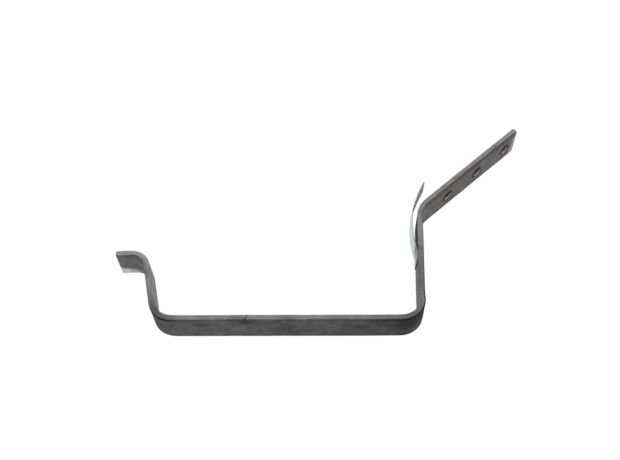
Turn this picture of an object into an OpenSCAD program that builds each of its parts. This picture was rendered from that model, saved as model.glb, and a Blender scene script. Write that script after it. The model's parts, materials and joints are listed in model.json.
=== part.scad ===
// Gutter bracket for a box gutter: one bent flat steel bar with a sheet steel
// spring strip welded to its back upright. The gutter sits on the long seat run,
// its front bead hooks over the lip, the strip grips its back edge, and the
// sloping arm is screwed to the rafter or roof boarding.
// Origin: middle of the seat face that carries the gutter. +X runs from the
// front lip to the roof arm, +Y across the bar, +Z up.

/* [Bar] */
// Width of the flat bar
bar_w = 30; // [20:1:50]
// Thickness of the flat bar
bar_t = 5; // [3:0.5:8]

/* [Seat] */
// Clear width between the uprights, measured on the seat face
seat_w = 222; // [150:1:320]
// Inside radius of the bends at both ends of the seat
seat_bend_r = 15.8; // [8:0.2:24]

/* [Front] */
// Height of the lip bend's middle line above the seat face
front_h = 62.5; // [50:0.5:140]
// Outward lean of the front upright, in degrees
front_lean = 13.2; // [0:0.1:25]
// Inside radius of the lip bend
lip_bend_r = 11.8; // [6:0.2:18]
// Length of the lip, from the corner of the middle lines
lip_len = 25.6; // [22:0.1:60]
// Fall of the lip towards its free end, in degrees
lip_fall = 3.5; // [0:0.1:12]
// Roll-over of the lip end's sheared lower edge
lip_roll_r = 1.5; // [0.5:0.1:2.8]

/* [Back] */
// Height of the roof bend's middle line above the seat face
back_h = 110; // [95:1:200]
// Outward lean of the back upright above the set, in degrees
back_lean = 2.6; // [0:0.1:12]
// Height of the slight reverse set above the seat face
set_h = 21; // [20:0.5:40]
// Inward lean of the short stretch below the set, in degrees
set_lean = 3.5; // [0.5:0.1:8]
// Inside radius of the reverse set
set_bend_r = 70; // [20:1:120]

/* [Roof arm] */
// Slope of the arm above the level, in degrees
roof_pitch = 42.8; // [15:0.1:60]
// Inside radius of the roof bend
roof_bend_r = 21; // [8:0.5:35]
// Length of the arm, from the corner of the middle lines
arm_len = 133; // [118:0.1:300]
// Rounding of the arm end's corner on the -Y side
arm_corner_r = 2.2; // [0.5:0.1:8]
// Rounding of the arm end's corner on the +Y side
arm_far_corner_r = 1; // [0.5:0.1:8]
// Roll-over of the arm end's sheared upper edge
arm_roll_r = 1.7; // [0.5:0.1:2.8]

/* [Screw holes] */
// Number of holes in the arm
hole_count = 3; // [1:1:3]
// Diameter of each hole
hole_d = 8; // [4:0.1:12]
// Distance from the arm's end to the nearest hole
hole_end = 14.6; // [8:0.1:20]
// Distance from one hole to the next
hole_pitch = 40.6; // [14:0.1:42]
// Offset of the holes' row from the bar's middle, towards +Y
hole_offset = 1.8; // [-5:0.1:5]
// Width of the broken edge round each hole
hole_break = 0.4; // [0.1:0.1:1]

/* [Spring strip] */
// Width of the strip
spring_w = 24.5; // [15:0.5:30]
// Thickness of the strip
spring_t = 1; // [0.5:0.1:1.5]
// Drop from the roof bend's middle line to the strip's lower end
spring_drop = 53; // [46:0.5:65]
// Length of the welded foot that lies flat on the upright
spring_foot_len = 8.5; // [5:0.5:15]
// Skew of the foot's end and of all the bends: how far they climb across the width
spring_skew = 4.8; // [0.5:0.1:8]
// Kick of the strip away from the upright, in degrees
spring_kick = 15; // [6:0.5:20]
// Inside radius of that kick
spring_kick_r = 6; // [3:0.5:12]
// Turn of the strip's long lower curve, in degrees
spring_sweep = 20.5; // [12:0.5:28]
// Radius of the lower curve
spring_sweep_r = 112; // [80:1:180]
// Turn of the strip's tighter middle curve, in degrees
spring_bow = 10.5; // [4:0.5:20]
// Radius of the middle curve
spring_bow_r = 45; // [30:1:90]
// Turn of the strip's slack upper curve, in degrees
spring_lean = 7; // [2:0.5:14]
// Radius of the upper curve
spring_lean_r = 157; // [90:1:220]
// Straight tip past the last curve, on the strip's middle line
spring_tip_len = 9.5; // [4:0.5:20]
// Skew of the tip's oblique shear, past that of the bends
spring_tip_skew = 2; // [0.5:0.5:6]

/* [Hidden] */
$fn = 96;
cut = 1;          // how far a cutting tool runs past a face
blend = 0.001;    // how far an arc runs past its tangent point, so that it always meets it
half_t = bar_t / 2;

function unit(heading) = [cos(heading), sin(heading)];
function left_of(heading) = [-sin(heading), cos(heading)];
function heading_of(v) = atan2(v.y, v.x);

// The bar's middle line as corners [x, z], from the lip's end to the arm's end
front_foot = [-seat_w / 2 - half_t * tan(45 - front_lean / 2), -half_t];
lip_corner = [front_foot.x - (front_h + half_t) * tan(front_lean), front_h];
lip_end = lip_corner - lip_len * unit(lip_fall);
back_foot = [seat_w / 2 + half_t * tan(45 + set_lean / 2), -half_t];
set_corner = [back_foot.x - (set_h + half_t) * tan(set_lean), set_h];
roof_corner = set_corner + (back_h - set_h) * [tan(back_lean), 1];
arm_end = roof_corner + arm_len * unit(roof_pitch);
bar_corners = [lip_end, lip_corner, front_foot, back_foot, set_corner, roof_corner, arm_end];
bar_radii = [lip_bend_r, seat_bend_r, seat_bend_r, set_bend_r, roof_bend_r];

// The strip's middle line, drawn from its foot on the upright's inner face with
// [up the upright, off it]: the welded foot, the kick away from the upright, then
// three curves that bring the tip back over the roof bend
foot_off = (half_t + spring_t / 2) / cos(back_lean);
spring_foot = roof_corner - spring_drop * [tan(back_lean), 1] - [foot_off, 0];
spring_skew_angle = atan(spring_skew / spring_w);
spring_turns = [spring_kick, -spring_sweep, -spring_bow, -spring_lean];
spring_radii = [spring_kick_r, spring_sweep_r, spring_bow_r, spring_lean_r];
spring_setbacks = [for (i = [0:3])
    (spring_radii[i] + spring_t / 2) * tan(abs(spring_turns[i]) / 2)];
spring_spare = spring_tip_skew + cut;   // drawn on past the tip, for the shear to take off
spring_runs = [
    spring_foot_len + spring_setbacks[0],
    for (i = [0:2]) spring_setbacks[i] + spring_setbacks[i + 1],
    spring_setbacks[3] + spring_tip_len + spring_spare];
spring_corners = chain([0, 0], 0, spring_runs, spring_turns);
spring_reach = 2 * (total(spring_runs) + spring_w);   // clears the strip on every side
spring_end = spring_corners[len(spring_corners) - 1];
spring_end_heading = total(spring_turns);

function total(list, i = 0) = i == len(list) ? 0 : list[i] + total(list, i + 1);

// Corners of a line with these straight runs and the turns between them
function chain(p, heading, runs, turns, i = 0) =
    i == len(runs) ? [p]
    : concat([p], chain(p + runs[i] * unit(heading),
                        heading + (i < len(turns) ? turns[i] : 0), runs, turns, i + 1));

// Heading of the straight that leaves corner i
function leaving(corners, i) = heading_of(corners[i + 1] - corners[i]);

// Where the offset lines of headings a and b meet beside corner p
function mitre(p, a, b, off) = p + off / cos((b - a) / 2) * left_of((a + b) / 2);

// One side of a flat, off beside its middle line
function side(corners, off) =
    let (n = len(corners) - 1)
    [for (i = [0:n])
        let (a = leaving(corners, max(i - 1, 0)), b = leaving(corners, min(i, n - 1)))
        mitre(corners[i], a, b, off)];

function reversed(list) = [for (i = [len(list) - 1:-1:0]) list[i]];

// Kite from a bend's centre c out to radius r, between headings a and b. It is
// wound clockwise, as the flat's own outline is, so that the two join as one
module kite(c, a, b, r) {
    polygon([c, c + r * left_of(max(a, b)), mitre(c, a, b, r), c + r * left_of(min(a, b))]);
}

// Outline of a bent flat: mitred straights, with each bend filled out to its
// inside radius and trimmed to its outside radius
module flat_outline(corners, inside_radii, t) {
    bends = [for (i = [1:len(corners) - 2])
        let (a = leaving(corners, i - 1), b = leaving(corners, i), r = inside_radii[i - 1],
             s = sign(b - a))
        [mitre(corners[i], a, b, s * (r + t / 2)), a, b, r, s]];
    difference() {
        union() {
            polygon(concat(side(corners, t / 2), reversed(side(corners, -t / 2))));
            for (k = bends) difference() {
                kite(k[0], k[1], k[2], -k[4] * (k[3] + t / 2));
                translate(k[0]) circle(k[3] + blend);
            }
        }
        for (k = bends) difference() {
            kite(k[0], k[1], k[2], -k[4] * (k[3] + t + cut));
            translate(k[0]) circle(k[3] + t + blend);
        }
    }
}

// Flat bent from a bar or strip of width w and thickness t
module bent_flat(corners, inside_radii, w, t) {
    rotate([90, 0, 0]) linear_extrude(w, center = true) flat_outline(corners, inside_radii, t);
}

// Children drawn at a point of the middle line, their +X along its heading
module along(p, heading) {
    translate([p.x, 0, p.y]) rotate([0, -heading, 0]) children();
}

// Waste round a square edge that runs along Z at the origin, material on -X -Y
module edge_waste(r, length) {
    translate([-r, -r, -length / 2]) difference() {
        cube([r + cut, r + cut, length]);
        translate([0, 0, -cut]) cylinder(r = r + blend, h = length + 2 * cut);
    }
}

// Waste of the arm's sheared end: two rounded corners and the rolled upper edge
module arm_end_waste() {
    corner_radii = [arm_far_corner_r, arm_corner_r];
    for (s = [0, 1])
        mirror([0, s, 0]) translate([0, bar_w / 2, 0])
            edge_waste(corner_radii[s], bar_t + 2 * cut);
    translate([0, 0, half_t]) rotate([90, 0, 0]) edge_waste(arm_roll_r, bar_w + 2 * cut);
}

// Waste of the lip's sheared end: the rolled lower edge
module lip_end_waste() {
    rotate([0, 180, 0]) translate([0, 0, half_t]) rotate([90, 0, 0])
        edge_waste(lip_roll_r, bar_w + 2 * cut);
}

// One punched hole through the flat, its edge broken on both faces
module punched_hole() {
    cylinder(d = hole_d, h = bar_t + 2 * cut, center = true);
    for (s = [0, 1])
        mirror([0, 0, s]) translate([0, 0, half_t - hole_break])
            cylinder(d1 = hole_d, d2 = hole_d + 4 * hole_break, h = 2 * hole_break);
}

module bar() {
    color("dimgray") difference() {
        bent_flat(bar_corners, bar_radii, bar_w, bar_t);
        along(lip_end, lip_fall) lip_end_waste();
        along(arm_end, roof_pitch) {
            arm_end_waste();
            for (i = [0:hole_count - 1])
                translate([-hole_end - i * hole_pitch, hole_offset, 0]) punched_hole();
        }
    }
}

// Waste of the strip's tip: an oblique shear through the middle of its width,
// which the skewed bends carry across by the rise of the tip
module spring_tip_waste() {
    along(spring_end, spring_end_heading)
        translate([-spring_spare, spring_end.x * tan(spring_skew_angle), 0])
            rotate([0, 0, -atan(spring_tip_skew / spring_w)])
                translate([0, -spring_reach, -spring_t])
                    cube([2 * spring_w, 2 * spring_reach, 2 * spring_t]);
}

// The strip is bent as a wide sheet, askew, and then cut to its width
module spring_strip() {
    color("gainsboro") intersection() {
        along(spring_foot, 90 - back_lean) rotate([0, 0, -spring_skew_angle]) difference() {
            bent_flat(spring_corners, spring_radii, spring_reach, spring_t);
            spring_tip_waste();
        }
        translate([spring_foot.x, 0, spring_foot.y])
            cube([spring_reach, spring_w, spring_reach], center = true);
    }
}

bar();
spring_strip();
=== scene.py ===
# Gutter bracket: a bent flat steel bar and the thin spring strip welded to it.
# Metres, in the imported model's frame: the origin is the middle of the seat face,
# +X runs from the lip to the roof arm, +Y across the bar and +Z up.
import json
import math

import bmesh
import bpy
import numpy as np
from mathutils import Matrix, Vector


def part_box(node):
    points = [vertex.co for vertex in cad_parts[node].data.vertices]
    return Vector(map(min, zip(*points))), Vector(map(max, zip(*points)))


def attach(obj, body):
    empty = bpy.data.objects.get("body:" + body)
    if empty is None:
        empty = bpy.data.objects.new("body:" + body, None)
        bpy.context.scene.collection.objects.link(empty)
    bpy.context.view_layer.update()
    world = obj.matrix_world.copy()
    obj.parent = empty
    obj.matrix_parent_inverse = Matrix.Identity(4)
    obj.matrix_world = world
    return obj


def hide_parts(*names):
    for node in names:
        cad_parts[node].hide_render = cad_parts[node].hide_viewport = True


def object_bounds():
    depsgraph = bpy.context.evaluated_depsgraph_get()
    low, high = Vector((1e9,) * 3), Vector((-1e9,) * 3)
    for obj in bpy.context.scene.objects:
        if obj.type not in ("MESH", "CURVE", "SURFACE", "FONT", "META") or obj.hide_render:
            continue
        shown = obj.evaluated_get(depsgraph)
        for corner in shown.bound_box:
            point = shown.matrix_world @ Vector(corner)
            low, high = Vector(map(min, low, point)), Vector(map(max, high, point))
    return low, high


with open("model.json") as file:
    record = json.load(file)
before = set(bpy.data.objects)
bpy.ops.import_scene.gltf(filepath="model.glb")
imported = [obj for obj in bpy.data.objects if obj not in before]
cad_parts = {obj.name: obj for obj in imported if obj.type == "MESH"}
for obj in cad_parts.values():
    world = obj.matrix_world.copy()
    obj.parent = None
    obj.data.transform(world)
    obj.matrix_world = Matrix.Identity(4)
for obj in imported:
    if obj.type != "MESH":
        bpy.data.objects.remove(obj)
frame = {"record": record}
cad_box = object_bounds()

# --- Bar ---------------------------------------------------------------------
# Hot-rolled flat steel, zinc coated and weathered dull. It is sheared and punched
# while it is straight, and then bent cold to a lip, a front upright, the seat, a
# back upright with a slight set, and the roof arm. It is made in that order here.
bar_low, bar_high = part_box("bar")
bar_w = bar_high.y - bar_low.y
bar_t = -bar_low.z

seat_w = 0.222           # clear width between the uprights, at the seat's face
seat_bend_r = 0.0158     # inside radius of the bends at both ends of the seat
front_h = 0.0625         # height of the lip's corner above the seat's face
front_lean = math.radians(13.2)
lip_bend_r = 0.0118
lip_len = 0.0256
back_h = 0.110           # height of the roof bend's corner
back_lean = math.radians(2.6)
set_h = 0.021            # height of the set, up to which the upright leans inwards
set_lean = math.radians(3.5)
set_bend_r = 0.070
roof_bend_r = 0.021
arm_len = 0.133
bar_edge_r = 0.0007      # rolled edges of the flat
lip_corner_r = 0.0009    # dressed corners of the lip's end
lip_roll_r = 0.0015      # roll-over of the lip end's lower edge, from the shear
arm_corner_r = 0.0017    # rounding of the arm end's corner on the -Y side
arm_far_corner_r = 0.001
arm_roll_r = 0.0014      # roll-over of the arm end's upper edge, from the shear
arm_bulge = 0.0007       # how far the middle of the sheared arm end stands out
arm_bulge_len = 0.004    # length of the arm over which the bulge builds up
upset = 0.22             # how much a bend squeezes out sideways, as a share of its strain
bend_spread = 0.004      # how far the swelling runs out past a bend
bar_wave = 0.00008       # unevenness of the rolled flat

# Slopes of the lip and of the arm, from the faces that the mounts name
mounts = {mount["name"]: mount for mount in frame["record"]["mounts"]}
lip_axis = mounts["lip_top"]["axis"]
lip_fall = math.atan2(-lip_axis[0], lip_axis[2])
arm_axis = mounts["arm_hole_top"]["axis"]
roof_pitch = math.atan2(-arm_axis[0], arm_axis[2])


def unit(heading):
    """Unit vector [x, z] of a heading, in radians above +X."""
    return np.array([np.cos(heading), np.sin(heading)])


def bent_line(corners, radii):
    """Middle line of a bent flat, as one row (s, x, z, heading, curvature) a stretch.

    Straights and arcs take turns. The arc at a corner starts radius * tan(turn / 2)
    before it, and is radius * turn long.
    """
    legs = np.diff(corners, axis=0)
    headings = np.arctan2(legs[:, 1], legs[:, 0])
    turns = np.diff(headings)
    setbacks = np.concatenate([[0], radii * np.tan(np.abs(turns) / 2), [0]])
    straights = np.hypot(legs[:, 0], legs[:, 1]) - setbacks[:-1] - setbacks[1:]
    arcs = radii * np.abs(turns)
    lengths = np.zeros(2 * len(legs) - 1)
    lengths[0::2], lengths[1::2] = straights, arcs
    line = np.zeros((len(lengths) + 1, 5))
    line[1:, 0] = np.cumsum(lengths)
    line[0:-1:2, 1:3] = corners[:-1] + setbacks[:-1, None] * unit(headings).T
    line[1:-1:2, 1:3] = corners[1:-1] - setbacks[1:-1, None] * unit(headings[:-1]).T
    line[-1, 1:3] = corners[-1]
    line[0:-1:2, 3], line[1:-1:2, 3], line[-1, 3] = headings, headings[:-1], headings[-1]
    line[1:-1:2, 4] = turns / arcs
    return line


def on_line(line, s):
    """Points x, z and headings at lengths s along a bent line.

    From a stretch's start, the chord of length d * sinc(curvature * d / 2) leaves at
    the mean heading, which holds for straights and arcs alike.
    """
    k = np.clip(np.searchsorted(line[:, 0], s, side="right") - 1, 0, len(line) - 2)
    start, x, z, heading, curvature = line[k].transpose(-1, *range(np.ndim(s)))
    half_turn = curvature * (s - start) / 2
    chord = (s - start) * np.sinc(half_turn / np.pi)
    step_x, step_z = unit(heading + half_turn)
    return x + chord * step_x, z + chord * step_z, heading + 2 * half_turn


def bar_corners():
    """Corners [x, z] of the bar's middle line, from the lip's end to the arm's end.

    A foot lies half a thickness below the seat's face, and t / 2 * tan(turn / 2) out
    from where the upright's inner face meets it. The heights are the corners' own.
    """
    half = bar_t / 2
    front_foot = np.array([-seat_w / 2 - half * math.tan(math.pi / 4 - front_lean / 2), -half])
    lip_corner = np.array([front_foot[0] - (front_h + half) * math.tan(front_lean), front_h])
    back_foot = np.array([seat_w / 2 + half * math.tan(math.pi / 4 + set_lean / 2), -half])
    set_corner = np.array([back_foot[0] - (set_h + half) * math.tan(set_lean), set_h])
    roof_corner = set_corner + (back_h - set_h) * np.array([math.tan(back_lean), 1])
    return np.array([
        lip_corner - lip_len * unit(lip_fall), lip_corner, front_foot, back_foot,
        set_corner, roof_corner, roof_corner + arm_len * unit(roof_pitch)])


bar_line = bent_line(
    bar_corners(),
    np.array([lip_bend_r, seat_bend_r, seat_bend_r, set_bend_r, roof_bend_r]) + bar_t / 2)
bar_len = bar_line[-1, 0]


def stops(marks, step):
    """Stations from the first mark to the last that meet every mark, about step apart."""
    marks = np.asarray(marks)
    parts = [
        np.linspace(a, b, max(int(round((b - a) / step)), 1), endpoint=False)
        for a, b in zip(marks[:-1], marks[1:])]
    return np.concatenate(parts + [marks[-1:]])


def girth(face_marks, face_step, side_steps, corner_steps):
    """Round the section of a flat: core y, core n and the outward direction, as rows.

    A point of the rounded rectangle is core * (half size - corner radius) plus the
    corner radius in the outward direction. It runs along the lower face, up the
    +Y side, back along the upper face and down the -Y side.
    """
    y = stops(face_marks, face_step)
    side = np.linspace(-1, 1, side_steps + 1)[1:-1]
    turn = np.linspace(0, math.pi / 2, corner_steps + 1)
    rows = []
    for quarter, (core_y, core_n) in enumerate([(1, -1), (1, 1), (-1, 1), (-1, -1)]):
        angle = turn + (quarter - 1) * math.pi / 2
        if quarter in (0, 2):
            face = y[1:-1][::core_y]
            rows.append(np.array([face, 0 * face + core_n, 0 * face, 0 * face + core_n]))
        else:
            rows.append(np.array([0 * side + core_y, side * core_n, 0 * side + core_y, 0 * side]))
        rows.append(np.array([
            0 * angle + core_y, 0 * angle + core_n, np.cos(angle), np.sin(angle)]))
    return np.hstack(rows)


def grid_faces(rows, columns, closed):
    """Quads of a grid of rows x columns points, numbered row by row."""
    across = columns if closed else columns - 1
    r, c = np.meshgrid(np.arange(rows - 1), np.arange(across), indexing="ij")
    after = (c + 1) % columns
    here, beyond = r * columns, (r + 1) * columns
    return np.stack([here + c, here + after, beyond + after, beyond + c], axis=-1)


def rounded_end(distance, radius):
    """How far an outline draws in at this distance from a rounded end: r - sqrt(r2 - u2)."""
    u = np.clip(radius - distance, 0, radius)
    return radius - np.sqrt(radius ** 2 - u ** 2)


def end_stops(radius, count):
    """Distances from an end that divide its rounding into equal angles."""
    return radius * (1 - np.cos(np.linspace(0, math.pi / 2, count + 1)))


# Holes of the arm: their stations along the straight bar, from the mounts
arm_end = bar_line[-1, 1:3]
arm_holes = [mounts[name] for name in ("arm_hole_top", "arm_hole_middle", "arm_hole_lower")]
hole_r = arm_holes[0]["dims"]["r_mm"] / 1000
hole_y = arm_holes[0]["pos_m"][1]
hole_at = np.array([
    bar_len - math.dist((hole["pos_m"][0], hole["pos_m"][2]), arm_end) for hole in arm_holes])
hole_pane = 0.0072       # half side of the square of face round a hole
pane_steps = 8           # quads along each side of it
pane_rings = 5           # rings of quads from it to the rim
rim_rings = 4            # round the rolled rim
bore_rings = 5           # and down to the middle of the bore
hole_roll = 0.0007       # roll-in of the punched edge
hole_drag = 0.0002       # how far the punch drags the face down round the hole


def shell_part(points, closed=True):
    """A grid of points, rows x columns x 3, as its flat list of points and its quads."""
    return points.reshape(-1, 3), grid_faces(*points.shape[:2], closed).reshape(-1, 4)


def end_cap(ring):
    """A flat end: its ring of points, drawn together in steps onto the ring's middle line."""
    middle = (ring[:, 2].max() + ring[:, 2].min()) / 2
    shares = np.linspace(1, 0, 4)[:, None]
    n = middle + (ring[:, 2] - middle) * shares
    return np.stack(np.broadcast_arrays(ring[:, 0], ring[:, 1], n), axis=-1)


def straight_bar():
    """Points (along, across, through) and quads of the punched bar before it is bent.

    The body is a rounded rectangle carried along the bar. Its corners draw in at
    both ends by r - sqrt(r2 - u2), and so do the arm end's upper face and the lip
    end's lower face. The arm's end then stands out by bulge * (1 - (2 n / t) ** 2).
    """
    core = bar_w / 2 - bar_edge_r
    step = 2 * hole_pane / pane_steps
    face_marks = [-1, (hole_y - hole_pane) / core, (hole_y + hole_pane) / core, 1]
    ring = girth(face_marks, step / core, side_steps=5, corner_steps=5)
    marks = np.concatenate([
        end_stops(lip_corner_r, 4), end_stops(lip_roll_r, 5), bar_line[1:-1, 0],
        hole_at - hole_pane, hole_at + hole_pane,
        bar_len - end_stops(arm_corner_r, 7), bar_len - end_stops(arm_roll_r, 5)])
    s = stops(np.unique(np.round(marks, 6)), step)[:, None]

    arm_corner = np.where(ring[0] > 0, arm_far_corner_r, arm_corner_r)
    half_w = bar_w / 2 - rounded_end(s, lip_corner_r) - rounded_end(bar_len - s, arm_corner)
    y = ring[0] * (half_w - bar_edge_r) + bar_edge_r * ring[2]
    n = ring[1] * (bar_t / 2 - bar_edge_r) + bar_edge_r * ring[3]
    roll = np.where(n > 0, rounded_end(bar_len - s, arm_roll_r), rounded_end(s, lip_roll_r))
    n = n * (1 - roll / (bar_t / 2))
    near_end = np.clip(1 - (bar_len - s) / arm_bulge_len, 0, 1)
    s = s + arm_bulge * near_end * (1 - (n / (bar_t / 2)) ** 2)
    body = np.stack(np.broadcast_arrays(s, y, n), axis=-1)
    points, faces = shell_part(body)

    centre = points[faces].mean(axis=1)
    by_hole = np.abs(centre[:, :1] - hole_at).min(axis=1) < hole_pane
    on_face = np.abs(np.abs(centre[:, 2]) - bar_t / 2) < 1e-6
    in_pane = by_hole & on_face & (np.abs(centre[:, 1] - hole_y) < hole_pane)
    caps = [shell_part(end_cap(body[0])), shell_part(end_cap(body[-1]))]
    holes = [part for at in hole_at for part in punched_hole(at)]
    return [(points, faces[~in_pane])] + caps + holes


def punched_hole(at):
    """The two panes of face round a hole at this station, and the hole's own wall.

    A pane's rings go from its square, at share 0, to the circle of the hole's rim,
    at share 1, in a straight mix of the two, and sink by the drag times share
    squared. The wall is the rim's quarter round, the bore and the other quarter
    round, carried round the hole's axis.
    """
    side = np.linspace(-1, 1, pane_steps + 1)[:-1]
    one = np.ones_like(side)
    square = hole_pane * np.hstack([[side, -one], [one, side], [-side, one], [-one, -side]])
    angle = -3 * math.pi / 4 + np.arange(4 * pane_steps) * math.pi / (2 * pane_steps)
    round_it = np.array([np.cos(angle), np.sin(angle)])

    share = np.linspace(0, 1, pane_rings + 1)[:, None]
    rim_r = hole_r + hole_roll
    plan = [
        middle + square[k] * (1 - share) + rim_r * round_it[k] * share
        for k, middle in enumerate([at, hole_y])]
    rise = bar_t / 2 - hole_drag * share ** 2
    parts = [
        shell_part(np.stack(np.broadcast_arrays(*plan, face * rise), axis=-1))
        for face in (1, -1)]

    turn = np.linspace(0, math.pi / 2, rim_rings + 1)
    rim_n = bar_t / 2 - hole_drag
    bore_n = np.linspace(rim_n - hole_roll, 0, bore_rings + 1)
    r = np.concatenate([rim_r - hole_roll * np.sin(turn), hole_r + 0 * bore_n[1:]])
    n = np.concatenate([rim_n - hole_roll * (1 - np.cos(turn)), bore_n[1:]])
    r = np.concatenate([r, r[-2::-1]])[:, None]
    n = np.concatenate([n, -n[-2::-1]])[:, None]
    wall = np.broadcast_arrays(at + r * round_it[0], hole_y + r * round_it[1], n)
    return parts + [shell_part(np.stack(wall, axis=-1))]


def bend(line, points, swell=0.0):
    """Points (along, across, through) of a straight flat, bent to its line, in X, Y and Z.

    A point lies at its distance through from the line's point. What is on the
    inside of a bend swells sideways by swell * curvature * through, and the outside
    draws in, with the curvature averaged over bend_spread each way.
    """
    s, y, n = points.T
    x, z, heading = on_line(line, s)
    turned = on_line(line, s + bend_spread)[2] - on_line(line, s - bend_spread)[2]
    y = y * (1 + swell * n * turned / (2 * bend_spread))
    return np.stack([x - n * np.sin(heading), y, z + n * np.cos(heading)], axis=-1)


def rolled_waves(points, size):
    """Slow unevenness of a flat: sums of sines along it that shift its edges and its faces.

    Waves from 20 to 100 mm long move the edges by up to twice the size, and the
    faces by just over half of it.
    """
    s, y = points.T[:2]
    edge = np.sin(s * 61 + 0.4) + 0.6 * np.sin(s * 143 + 2.1) + 0.4 * np.sin(s * 317 + y * 90)
    face = np.sin(s * 83 + y * 70 + 1.7) + 0.5 * np.sin(s * 191 - y * 160)
    return points + size * np.stack([0 * s, edge, 0.4 * face], axis=-1)


def make_piece(name, parts, shape):
    """A mesh object of the parts of a straight flat, welded into one shell and bent.

    The function shape takes the straight points to their places. Each point keeps
    its straight place as the attribute "straight", which the finishes read, so that
    their streaks follow the bar through its bends.
    """
    counts = np.cumsum([0] + [len(points) for points, _ in parts])
    straight = np.concatenate([points for points, _ in parts])
    faces = np.concatenate([quads + first for (_, quads), first in zip(parts, counts)])
    mesh = bpy.data.meshes.new(name)
    mesh.from_pydata(shape(straight), [], faces)
    mesh.attributes.new("straight", "FLOAT_VECTOR", "POINT").data.foreach_set(
        "vector", straight.ravel())
    shell = bmesh.new()
    shell.from_mesh(mesh)
    # The parts meet point on point, so only rounding in the sums keeps them apart
    bmesh.ops.remove_doubles(shell, verts=shell.verts, dist=2e-6)
    bmesh.ops.dissolve_degenerate(shell, edges=shell.edges, dist=1e-7)
    bmesh.ops.recalc_face_normals(shell, faces=shell.faces)
    shell.to_mesh(mesh)
    shell.free()
    mesh.shade_smooth()
    mesh.set_sharp_from_angle(angle=math.radians(50))
    piece = bpy.data.objects.new(name, mesh)
    bpy.context.scene.collection.objects.link(piece)
    return piece


def straight_places(piece):
    """The straight place of every point of a piece, as rows (along, across, through)."""
    places = np.zeros(3 * len(piece.data.vertices))
    piece.data.attributes["straight"].data.foreach_get("vector", places)
    return places.reshape(-1, 3)


def set_mask(piece, name, values):
    """Keeps a value from 0 to 1 at every point of a piece, for its finish to read."""
    mask = piece.data.attributes.new(name, "FLOAT", "POINT")
    mask.data.foreach_set("value", np.clip(values, 0, 1))


def spot(distance, reach):
    """A soft spot: e to the minus (distance / reach) squared."""
    return np.exp(-(distance / reach) ** 2)


class Wire:
    """A socket of a material's nodes. Arithmetic on wires adds the Math node for it."""

    def __init__(self, tree, socket=None):
        self.tree = tree
        self.socket = socket

    def node(self, kind, settings=None, inputs=None, output=0):
        """Adds a node: its settings first, then the values or wires of its sockets."""
        added = self.tree.nodes.new("ShaderNode" + kind)
        for name, value in (settings or {}).items():
            setattr(added, name, value)
        for name, value in (inputs or {}).items():
            if isinstance(value, Wire):
                self.tree.links.new(value.socket, added.inputs[name])
            else:
                added.inputs[name].default_value = value
        return Wire(self.tree, added.outputs[output]) if added.outputs else None

    def maths(self, operation, *others):
        """The Math node of this operation on this wire and the other values or wires."""
        return self.node("Math", {"operation": operation}, dict(enumerate((self, *others))))

    def __add__(self, other):
        return self.maths("ADD", other)

    def __sub__(self, other):
        return self.maths("SUBTRACT", other)

    def __rsub__(self, other):
        return self * -1 + other

    def __mul__(self, other):
        return self.maths("MULTIPLY", other)

    __radd__ = __add__
    __rmul__ = __mul__

    def between(self, low, high):
        """0 below low, 1 above high and smooth between them."""
        settings = {"interpolation_type": "SMOOTHSTEP"}
        return self.node("MapRange", settings, {"Value": self, "From Min": low, "From Max": high})

    def noise(self, scales, detail=3.0, rough=0.5):
        """Noise on this vector, stretched by the number of features a metre on each axis."""
        stretched = self.node("VectorMath", {"operation": "MULTIPLY"}, {0: self, 1: scales})
        settings = {"Vector": stretched, "Scale": 1.0, "Detail": detail, "Roughness": rough}
        return self.node("TexNoise", {}, settings)

    def near(self, middle, reach):
        """1 where this value is at the middle, falling smoothly to 0 at this reach from it."""
        return (self - middle).maths("ABSOLUTE").between(reach, 0)

    def part(self, axis):
        """One component of this vector: 0, 1 or 2."""
        return self.node("SeparateXYZ", {}, {"Vector": self}, output=axis)

    def colour(self, low, high, blend="MIX"):
        """A colour from low, where this mask is 0, to high, where it is 1."""
        low, high = (c if isinstance(c, Wire) else (*c, 1.0) for c in (low, high))
        settings = {"data_type": "RGBA", "clamp_factor": True, "blend_type": blend}
        return self.node("Mix", settings, {0: self, 6: low, 7: high}, output=2)


def new_finish(name):
    """An empty material, and a wire into its nodes."""
    material = bpy.data.materials.new(name)
    material.use_nodes = True
    material.node_tree.nodes.clear()
    return material, Wire(material.node_tree)


def lay_on(wire, inputs, bump, depth):
    """Ends a finish: the steel shader with these sockets, and its relief, in metres."""
    relief = wire.node("Bump", {}, {"Height": bump, "Distance": depth, "Strength": 1.0})
    shader = wire.node("BsdfPrincipled", {}, {**inputs, "Normal": relief})
    wire.node("OutputMaterial", {}, {"Surface": shader})


nick_s = 0.1614          # station of the nick across the seat's edge on the -Y side
nick_lean = 0.45         # how far it leans along the bar, for each metre through
nick_half = 0.0009       # its half width, over which it fades
shade_line_in = 0.0013       # middle of the painted shadow line along the lower face's -Y edge


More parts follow.
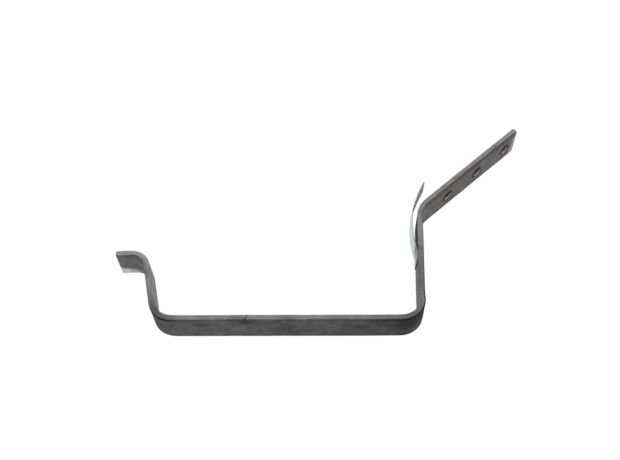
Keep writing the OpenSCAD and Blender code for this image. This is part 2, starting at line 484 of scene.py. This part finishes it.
def weathered_bar_finish():
    """Old zinc on a rolled flat: grey in patches and smudges, drawn out along the bar.

    The masks say where it is grimy or painted dark as shade, how much of the painted
    shadow line by the -Y edge shows, where painted sheen and reflections brighten it and
    where it has turned brown or blue. The side's nick is a dark line
    |along - lean * through - nick_s| < half. What is dark, dirt and painted shade alike,
    is also the roughest.
    """
    material, wire = new_finish("galvanised_bar")
    place = wire.node("Attribute", {"attribute_name": "straight"}, output="Vector")
    grime, creased, rubbed, brown, blued = (
        wire.node("Attribute", {"attribute_name": name}, output="Fac")
        for name in ("grime", "creased", "rubbed", "brown", "blued"))

    patches = place.noise((48, 75, 120), detail=3, rough=0.6)
    smudges = place.noise((115, 170, 420), detail=4, rough=0.65)
    streaks = place.noise((36, 800, 900), detail=4, rough=0.6)
    fine_streaks = place.noise((170, 2600, 2600), detail=2)
    warmth = place.noise((34, 80, 80), detail=2)
    violet = place.noise((47, 100, 75), detail=2)

    zinc = patches.between(0.38, 0.62).colour((0.138, 0.139, 0.141), (0.225, 0.225, 0.222))
    # 1 on the -Y edge's own face, which is less smudged and carries the nick
    side = place.part(1).between(-bar_w / 2 + 0.0012, -bar_w / 2 + 0.0004)
    smudging = smudges.between(0.47, 0.62) * (0.80 - side * 0.50)
    smudged = smudging.colour(zinc, (0.088, 0.088, 0.090))
    blotting = smudges.between(0.44, 0.32) * (0.70 - side * 0.35)
    blotted = blotting.colour(smudged, (0.310, 0.312, 0.312))
    streaked = (streaks.between(0.50, 0.66) * 0.65).colour(blotted, (0.110, 0.109, 0.110))
    lit = (fine_streaks.between(0.50, 0.72) * 0.40).colour(streaked, (0.360, 0.360, 0.358))
    warmed = warmth.between(0.50, 0.66).colour(lit, (1.00, 0.97, 0.88), "MULTIPLY")
    tinted = violet.between(0.52, 0.68).colour(warmed, (1.00, 0.92, 1.00), "MULTIPLY")
    browned = brown.colour(tinted, (1.02, 0.91, 0.85), "MULTIPLY")
    cooled = blued.colour(browned, (0.90, 0.96, 1.06), "MULTIPLY")
    nick = (place.part(0) - place.part(2) * nick_lean).near(nick_s, nick_half) * side
    # A painted shadow line along the lower face, just in from the -Y edge
    under_edge = place.part(1).near(-bar_w / 2 + shade_line_in, shade_line_in * 2)
    under_edge = under_edge * place.part(2).between(-0.3 * bar_t, -0.45 * bar_t)
    # Dark: grime, the nick and painted shade together
    dark = (grime + nick + creased * under_edge).maths("MINIMUM", 1)
    dirt_and_shade = dark.colour(cooled, (0.018, 0.017, 0.018))
    # Painted sheen and reflections: paler, more metallic and smoother where the mask is high
    sheen_amount = rubbed * (0.6 + smudges.between(0.62, 0.40) * 0.4)
    inputs = {
        "Base Color": sheen_amount.colour(dirt_and_shade, (0.66, 0.66, 0.665)),
        "Metallic": 0.10 + sheen_amount * 0.65,
        "Roughness": 0.58 + streaks * 0.14 - sheen_amount * 0.26 + dark * 0.40,
    }
    relief = smudges * 0.4 + streaks * 0.4 + fine_streaks * 0.2 - nick * 1.5
    lay_on(wire, inputs, relief, depth=0.00009)
    return material


bar = make_piece(
    "flat_bar", straight_bar(), lambda flat: bend(bar_line, rolled_waves(flat, bar_wave), upset))
bar_s, bar_y, bar_n = straight_places(bar).T

# Stations at which the bends and stretches start, and the bar's sides and edges
lip_bend, front_bend, seat, back_bend, back, roof_bend = bar_line[[1, 3, 4, 5, 8, 9], 0]
on_arm = bar_s > roof_bend
underside = (bar_n < -bar_t / 2 + bar_edge_r).astype(float)
from_near_edge = bar_y + bar_w / 2
from_far_edge = bar_w / 2 - bar_y

# Round each hole: how far past its rim a point lies, and how far round towards the
# hole's lit side, which is its +Y side and a little up the arm; the painted shade and
# highlights in and round the holes are laid out from it
past_hole = bar_s - hole_at[np.abs(bar_s[:, None] - hole_at).argmin(axis=1)]
hole_distance = np.hypot(past_hole, bar_y - hole_y)
past_rim = hole_distance - hole_r
lit_along, lit_across = 0.42, 0.91
toward_lit = (
    (lit_along * past_hole + lit_across * (bar_y - hole_y))
    / np.maximum(hole_distance, hole_r))
bore = hole_distance < hole_r + 1.05 * hole_roll
bore_depth = bar_t / 2 - np.abs(bar_n)

# Grime and painted shade: each is a strength times soft spots, whose last number is
# their reach. It lies all round the bends, and otherwise on the lower face and in the
# holes. The seat's smudges are stains, and the patch by the back bend, the lines along
# the edges and the rings round the holes are darker places. The lower face's darkening
# near the back bend and on the arm is painted shade, the bores are painted dark as
# shade, and the crescents by the holes' rims are painted shadows.
bend_grime = (
    0.42 * spot(bar_s - front_bend - 0.009, 0.009) + 0.25 * spot(bar_s - back_bend, 0.010)
    + 0.30 * spot(bar_s - back - 0.014, 0.022))
seat_smudges = sum(
    strength * spot(bar_s - at, along) * spot(bar_y - across, aside)
    for at, across, along, aside, strength in [
        (0.122, -0.005, 0.006, 0.004, 0.35), (0.162, -0.012, 0.009, 0.005, 0.40),
        (0.199, 0.006, 0.010, 0.008, 0.25), (0.258, 0.002, 0.007, 0.007, 0.30),
        (0.272, -0.010, 0.009, 0.007, 0.35), (0.298, -0.004, 0.013, 0.010, 0.25)])
# Painted shade on the lower face, most near the back bend and a little along the arm
lower_face_shade = 0.15 * spot(bar_s - back_bend, 0.090) + 0.05 * on_arm
back_bend_patch = 0.85 * spot(bar_s - back_bend - 0.022, 0.016) * spot(from_near_edge, 0.022)
arm_edge_line = 0.18 * on_arm * spot(from_near_edge - 0.003, 0.0040)
far_edge_line = 0.35 * spot(from_far_edge, 0.0022)
hole_rings = 0.35 * spot(past_rim - 0.0016, 0.0008)
# Painted shadows: dark crescents round each hole's rim, on the side away from its lit side
hole_rim_shadows = 3 * spot(past_rim, 0.0019) * np.clip(-3 * toward_lit, 0, 1)
# Each bore is painted dark as shade, apart from its bright land
bar_grime_and_shade = bend_grime + bore + underside * (
    seat_smudges + lower_face_shade + back_bend_patch + arm_edge_line + far_edge_line
    + hole_rings + hole_rim_shadows)

# The painted shadow line by the lower face's -Y edge is strongest just before the seat begins
bar_edge_shade = (
    0.15 + 0.85 * spot(bar_s - seat + 0.008, 0.013) + 0.10 * on_arm
    + 0.3 * spot(bar_s - back_bend, 0.02))

# Painted sheen: lighter and shinier on the lip, and on the sides and upper face in
# places; on the lower face a little under the lip, and painted reflections at the lip's
# far corner and in a wedge of the arm's tip, which widens to its far side
lip_sheen = 0.16 * spot(bar_s, 0.024)
upper_sheen = 0.07 * (bar_s > back + 0.044) + 0.05 * spot(bar_s - 0.190, 0.070)
lip_corner_reflection = 1.3 * np.clip(2.2 - from_far_edge / 0.006 - bar_s / 0.014, 0, 0.85)
under_lip_sheen = 0.06 * (bar_s < lip_bend + 0.012)
tip_wedge = bar_len - bar_s < 0.003 + 0.12 * from_near_edge
tip_reflection = tip_wedge * np.clip(0.05 + from_near_edge / 0.030, 0, 0.65)
bar_sheen = lip_sheen + (1 - underside) * upper_sheen + underside * (
    lip_corner_reflection + under_lip_sheen + tip_reflection)

# Each bore has a bright land just inside the rolled rim, on its lit side: a burnished land
# painted bright as a highlight where the light reaches the wall
land_highlight = bore & (bore_depth > 0.0002) & (bore_depth < 0.0014) & (toward_lit > 0.35)
bar_grime_and_shade[land_highlight] = 0
bar_sheen[land_highlight] = (0.45 + 0.3 * past_hole / hole_r)[land_highlight]

set_mask(bar, "creased", bar_edge_shade)
set_mask(bar, "grime", bar_grime_and_shade)
set_mask(bar, "rubbed", bar_sheen)
set_mask(bar, "brown", (0.4 + 0.6 * underside) * on_arm)
set_mask(bar, "blued", 0.8 * spot(bar_s - back - 0.036, 0.010) + 0.7 * spot(bar_s - seat, 0.016))
bar.data.materials.append(weathered_bar_finish())
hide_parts("bar")
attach(bar, "root")

# --- Spring strip --------------------------------------------------------------
# Thin galvanised spring sheet, cut on a shear, with a slanting tip. Its foot is
# spot-welded flat on the back upright's gutter side, and from there it stands
# off in a long bow and leans back over the roof bend.
strip_low, strip_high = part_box("spring_strip")
strip_w = strip_high.y - strip_low.y
strip_t = 0.001
strip_edge_r = 0.0003    # eased edges of the sheet
strip_wave = 0.00005     # unevenness of the sheet
strip_quad = (0.0011, 0.0009)    # length and width of its quads
strip_drop = 0.053       # from the roof bend's corner down to the foot's end
strip_foot_len = 0.0085
strip_tip_len = 0.0095
# The kick off the upright, the long bow, the lean over the roof bend and the tip's
# slow curve: how far each turns, and its radius in the middle of the thickness
strip_turns = np.radians([15, -20.5, -10.5, -7])
strip_radii = strip_t / 2 + np.array([0.006, 0.112, 0.045, 0.157])
strip_askew = math.atan(0.0048 / strip_w)    # slant of the foot's end and of all the bends
strip_tip_slant = 0.002 / strip_w            # of the tip's shear, past that of the bends
foot_dull_to = 0.0145                        # how far up the strip its foot is dull
foot_dull_fade = 0.002


def strip_corners():
    """Corners [up the upright, off it] of the strip's middle line, from its foot to its tip."""
    setbacks = strip_radii * np.tan(np.abs(strip_turns) / 2)
    straights = np.array([strip_foot_len, 0, 0, 0, strip_tip_len])
    runs = straights + np.append(setbacks, 0) + np.append(0, setbacks)
    headings = np.append(0, np.cumsum(strip_turns))
    return np.append([[0, 0]], np.cumsum(runs[:, None] * unit(headings).T, axis=0), axis=0)


strip_line = bent_line(strip_corners(), strip_radii)
strip_len = strip_line[-1, 0]


def straight_strip():
    """Points (along, across, through) and quads of the strip before it is bent.

    A rounded rectangle carried along the strip. Its last straight stretches in
    proportion, so that the sheared end lies slant * y / cos(askew) past the middle's.
    """
    core = strip_w / 2 - strip_edge_r
    ring = girth([-1, 1], strip_quad[1] / core, side_steps=2, corner_steps=3)
    s = stops(strip_line[:, 0], strip_quad[0])[:, None]
    y = ring[0] * core + strip_edge_r * ring[2]
    n = ring[1] * (strip_t / 2 - strip_edge_r) + strip_edge_r * ring[3]
    tip_from = strip_line[-2, 0]
    past = strip_tip_slant * y / math.cos(strip_askew) / (strip_len - tip_from)
    s = s + past * np.clip(s - tip_from, 0, None)
    body = np.stack(np.broadcast_arrays(s, y, n), axis=-1)
    return [shell_part(body), shell_part(end_cap(body[0])), shell_part(end_cap(body[-1]))]


def bent_strip(flat):
    """Places of the strip's straight points, bent askew and set on the upright.

    A slice at y holds the bent line, climbed y * tan(askew) up the upright and
    stretched that way by 1 / cos(askew), as a slice of a skewed bend is.
    """
    up, y, off = bend(strip_line, rolled_waves(flat, strip_wave)).T
    climb = up / math.cos(strip_askew) + y * math.tan(strip_askew)
    roof_corner = bar_corners()[5]
    foot_x = roof_corner[0] - strip_drop * math.tan(back_lean)
    foot_x -= (bar_t + strip_t) / 2 / math.cos(back_lean)
    x = foot_x + climb * math.sin(back_lean) - off * math.cos(back_lean)
    z = roof_corner[1] - strip_drop + climb * math.cos(back_lean) + off * math.sin(back_lean)
    return np.stack([x, y, z], axis=-1)


def bright_strip_finish():
    """Fresh zinc on thin sheet: bright and cool in front, grey where it is dull, and grey on its
    back partly as painted shade.

    The masks say where it is dull, as on its back, and where painted shade lies at its foot's
    end.
    """
    material, wire = new_finish("spring_sheet")
    place = wire.node("Attribute", {"attribute_name": "straight"}, output="Vector")
    dull_shade_mask, grime = (
        wire.node("Attribute", {"attribute_name": name}, output="Fac")
        for name in ("dulled", "grime"))

    clouds = place.noise((90, 130, 130), detail=3)
    rolling = place.noise((60, 1400, 1400), detail=3)

    cool = clouds.between(0.30, 0.70).colour((0.54, 0.57, 0.595), (0.66, 0.69, 0.72))
    drawn = (rolling.between(0.45, 0.80) * 0.4).colour(cool, (0.46, 0.49, 0.51))
    dulled = dull_shade_mask.colour(drawn, (0.252, 0.254, 0.246))
    inputs = {
        "Base Color": grime.colour(dulled, (0.030, 0.030, 0.032)),
        "Metallic": 0.90 - dull_shade_mask * 0.78,
        "Roughness": 0.40 + rolling * 0.12 + dull_shade_mask * 0.12,
    }
    lay_on(wire, inputs, rolling, depth=0.00003)
    return material


strip = make_piece("spring_sheet", straight_strip(), bent_strip)
strip_s, strip_y, strip_n = straight_places(strip).T
strip_climb = strip_s / math.cos(strip_askew) + strip_y * math.tan(strip_askew)
strip_back = strip_n < 0
strip_cut = np.abs(strip_y) > strip_w / 2 - strip_edge_r
cut_dull = (0.50 + 0.35 * (strip_s > 0.8 * strip_len)) * strip_cut
tip_dull = 0.6 * (strip_s > strip_len - 0.001)
on_foot = np.clip((foot_dull_to - strip_climb) / foot_dull_fade, 0, 1)
foot_dull = on_foot * np.clip(0.55 - strip_y / 0.016, 0.15, 0.95)
# The back is painted dull grey, partly as painted shade; the cut edges, the tip and the foot are
# dull in the sheet itself
set_mask(strip, "dulled", np.maximum.reduce([strip_back, cut_dull, tip_dull, foot_dull]))
# Painted shade at the foot's end: its cut end and the shadow under it painted near black
set_mask(strip, "grime", 0.9 * spot(strip_s, 0.0008))
strip.data.materials.append(bright_strip_finish())
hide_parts("spring_strip")
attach(strip, "root")

# --- Stage -------------------------------------------------------------------
# A pale floor well below the bracket, which is looked at from underneath, a
# white surround, and two soft lamps.
floor_z = -1.1
floor_half = 8.0
ambient = 0.40           # strength of the surround's light on the bracket


def seen_directly(wire):
    """1 for what the camera, a reflection or a transmission sees, and 0 for other light."""
    rays = [wire.node("LightPath", {}, {}, output=f"Is {kind} Ray")
            for kind in ("Camera", "Glossy", "Transmission")]
    return rays[0] + rays[1] + rays[2]


world = bpy.data.worlds.new("surround")
world.use_nodes = True
world.node_tree.nodes.clear()
air = Wire(world.node_tree)
surround = air.node("Background", {}, {
    "Color": (1, 1, 1, 1), "Strength": ambient + (1 - ambient) * seen_directly(air)})
air.node("OutputWorld", {}, {"Surface": surround})
bpy.context.scene.world = world

floor_mesh = bpy.data.meshes.new("floor")
floor_corners = [(x * floor_half, y * floor_half, floor_z) for x, y in
                 ((-1, -1), (1, -1), (1, 1), (-1, 1))]
floor_mesh.from_pydata(floor_corners, [], [(0, 1, 2, 3)])
floor = bpy.data.objects.new("floor", floor_mesh)
bpy.context.scene.collection.objects.link(floor)
floor_paint, ground = new_finish("pale_floor")
pale = ground.node("BsdfDiffuse", {}, {"Color": (0.40, 0.40, 0.40, 1)})
white = ground.node("Emission", {}, {"Color": (1, 1, 1, 1), "Strength": 1.0})
ground.node("OutputMaterial", {}, {
    "Surface": ground.node("MixShader", {}, {0: seen_directly(ground), 1: pale, 2: white})})
floor_mesh.materials.append(floor_paint)


def soft_lamp(name, place, size, power):
    """A square area lamp, its size in metres, that shines at the middle of the bracket."""
    lamp = bpy.data.lights.new(name, "AREA")
    lamp.shape = "SQUARE"
    lamp.size = size
    lamp.energy = power
    holder = bpy.data.objects.new(name, lamp)
    aim = (cad_box[0] + cad_box[1]) / 2
    turn = (aim - Vector(place)).to_track_quat("-Z", "Y").to_matrix().to_4x4()
    holder.matrix_world = Matrix.Translation(place) @ turn
    bpy.context.scene.collection.objects.link(holder)


soft_lamp("key_lamp", place=(-0.4, -1.0, 1.6), size=1.3, power=27)
soft_lamp("side_lamp", place=(1.3, -0.6, 0.2), size=0.8, power=5)

# The camera stands low on the -Y side and looks up: turned a little towards the lip,
# and rolled a little about its own line of sight
camera_data = bpy.data.cameras.new("camera")
camera_data.sensor_width = 36
camera_data.lens = 46.46
camera = bpy.data.objects.new("camera", camera_data)
camera_place = (0.0348, -0.60455, -0.3145)
camera_up = math.radians(34.09)
camera_turn = math.radians(1.73)
camera_roll = math.radians(0.66)
camera.matrix_world = (
    Matrix.Translation(camera_place)
    @ Matrix.Rotation(camera_turn, 4, "Z")
    @ Matrix.Rotation(math.pi / 2 + camera_up, 4, "X")
    @ Matrix.Rotation(camera_roll, 4, "Z"))
bpy.context.scene.collection.objects.link(camera)
bpy.context.scene.camera = camera
bpy.context.scene.view_settings.view_transform = "Standard"
